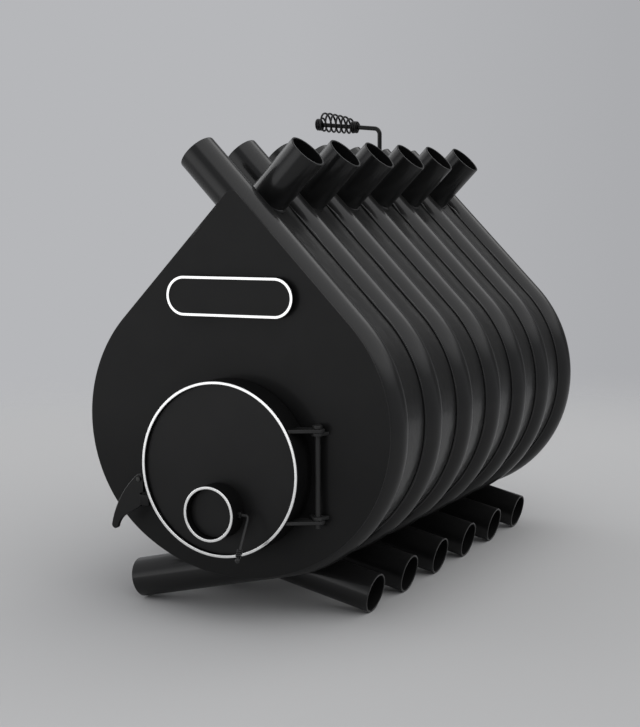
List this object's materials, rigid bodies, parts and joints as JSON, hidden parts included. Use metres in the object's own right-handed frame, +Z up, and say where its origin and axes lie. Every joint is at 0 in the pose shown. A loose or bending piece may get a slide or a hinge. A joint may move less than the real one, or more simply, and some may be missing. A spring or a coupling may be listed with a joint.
{
  "type": "convection wood stove",
  "caption": "Convection wood stove: a tear-drop steel firebox between bent air tubes crossing above and below, with a round hinged door, air throttle, latch and flue damper.",
  "frame": {"origin": "on the floor, on the mid-plane, under the centre plane of the first tube", "axes": "+X to the right seen from the door, +Y from the door back to the flue, +Z up"},
  "size_m": [0.7227, 1.3347, 0.9936],
  "materials": {
    "black_paint": "matt black heat-resistant paint over rolled steel",
    "blackened_steel": "black oxide with a slight sheen, on the lever, the pin, the rods and the springs",
    "polished_steel": "bright steel, on the rims of the door and the air inlet and the border of the name plate",
    "bare_steel": "bare turned steel with a dull sheen",
    "scaled_steel": "unpainted hot-rolled steel, brown from the fire",
    "gasket_rope": "woven glass-fibre rope, dusted with soot"
  },
  "bodies": {
    "stove": {"right_tube_1": "black_paint", "right_tube_2": "black_paint", "right_tube_3": "black_paint", "right_tube_4": "black_paint", "right_tube_5": "black_paint", "right_tube_6": "black_paint", "right_tube_7": "black_paint", "left_tube_1": "black_paint", "left_tube_2": "black_paint", "left_tube_3": "black_paint", "left_tube_4": "black_paint", "left_tube_5": "black_paint", "left_tube_6": "black_paint", "right_wall_1": "black_paint", "right_wall_2": "black_paint", "right_wall_3": "black_paint", "right_wall_4": "black_paint", "right_wall_5": "black_paint", "right_wall_6": "black_paint", "left_wall_1": "black_paint", "left_wall_2": "black_paint", "left_wall_3": "black_paint", "left_wall_4": "black_paint", "left_wall_5": "black_paint", "left_wall_6": "black_paint", "left_wall_7": "black_paint", "front_plate": "black_paint", "rear_plate": "black_paint", "flame_baffle": "scaled_steel", "injectors": "scaled_steel", "door_neck": "black_paint", "neck_sill": "black_paint", "hinge_brackets": "black_paint", "hinge_pin": "blackened_steel", "latch_keeper": "black_paint", "name_plate": "black_paint", "name_plate_border": "polished_steel", "name_plate_studs": "black_paint", "flue_pipe": "black_paint", "flue_bushes": "black_paint"},
    "door": {"door_band": "black_paint", "door_rim": "polished_steel", "door_disc": "black_paint", "door_gasket": "gasket_rope", "gasket_retainer": "scaled_steel", "hinge_arms": "black_paint", "latch_lug": "black_paint", "latch_bolt": "bare_steel", "inlet_collar": "black_paint", "inlet_rim": "polished_steel", "throttle_bushes": "black_paint"},
    "latch": {"latch_lever": "blackened_steel"},
    "throttle": {"throttle_disc": "black_paint", "throttle_rod": "blackened_steel", "throttle_coil": "blackened_steel"},
    "flue_damper": {"flue_damper_disc": "blackened_steel", "flue_damper_rod": "blackened_steel", "flue_damper_rivets": "blackened_steel", "flue_handle_coil": "blackened_steel", "flue_handle_stops": "blackened_steel"}
  },
  "joints": [
    {"name": "door_hinge", "type": "hinge", "parent": "stove", "child": "door", "pos_m": [0.1813, -0.058, 0.28], "axis": [0, 0, 1], "range_deg": [0, 120]},
    {"name": "latch_pivot", "type": "hinge", "parent": "door", "child": "latch", "pos_m": [-0.177, -0.0885, 0.252], "axis": [0, 1, 0], "range_deg": [-14, 70]},
    {"name": "throttle_spindle", "type": "hinge", "parent": "door", "child": "throttle", "pos_m": [0, -0.1179, 0.209], "axis": [-1, 0, 0], "range_deg": [0, 80]},
    {"name": "damper_spindle", "type": "hinge", "parent": "stove", "child": "flue_damper", "pos_m": [0, 1.0963, 0.6], "axis": [-1, 0, 0], "range_deg": [0, 90]}
  ]
}
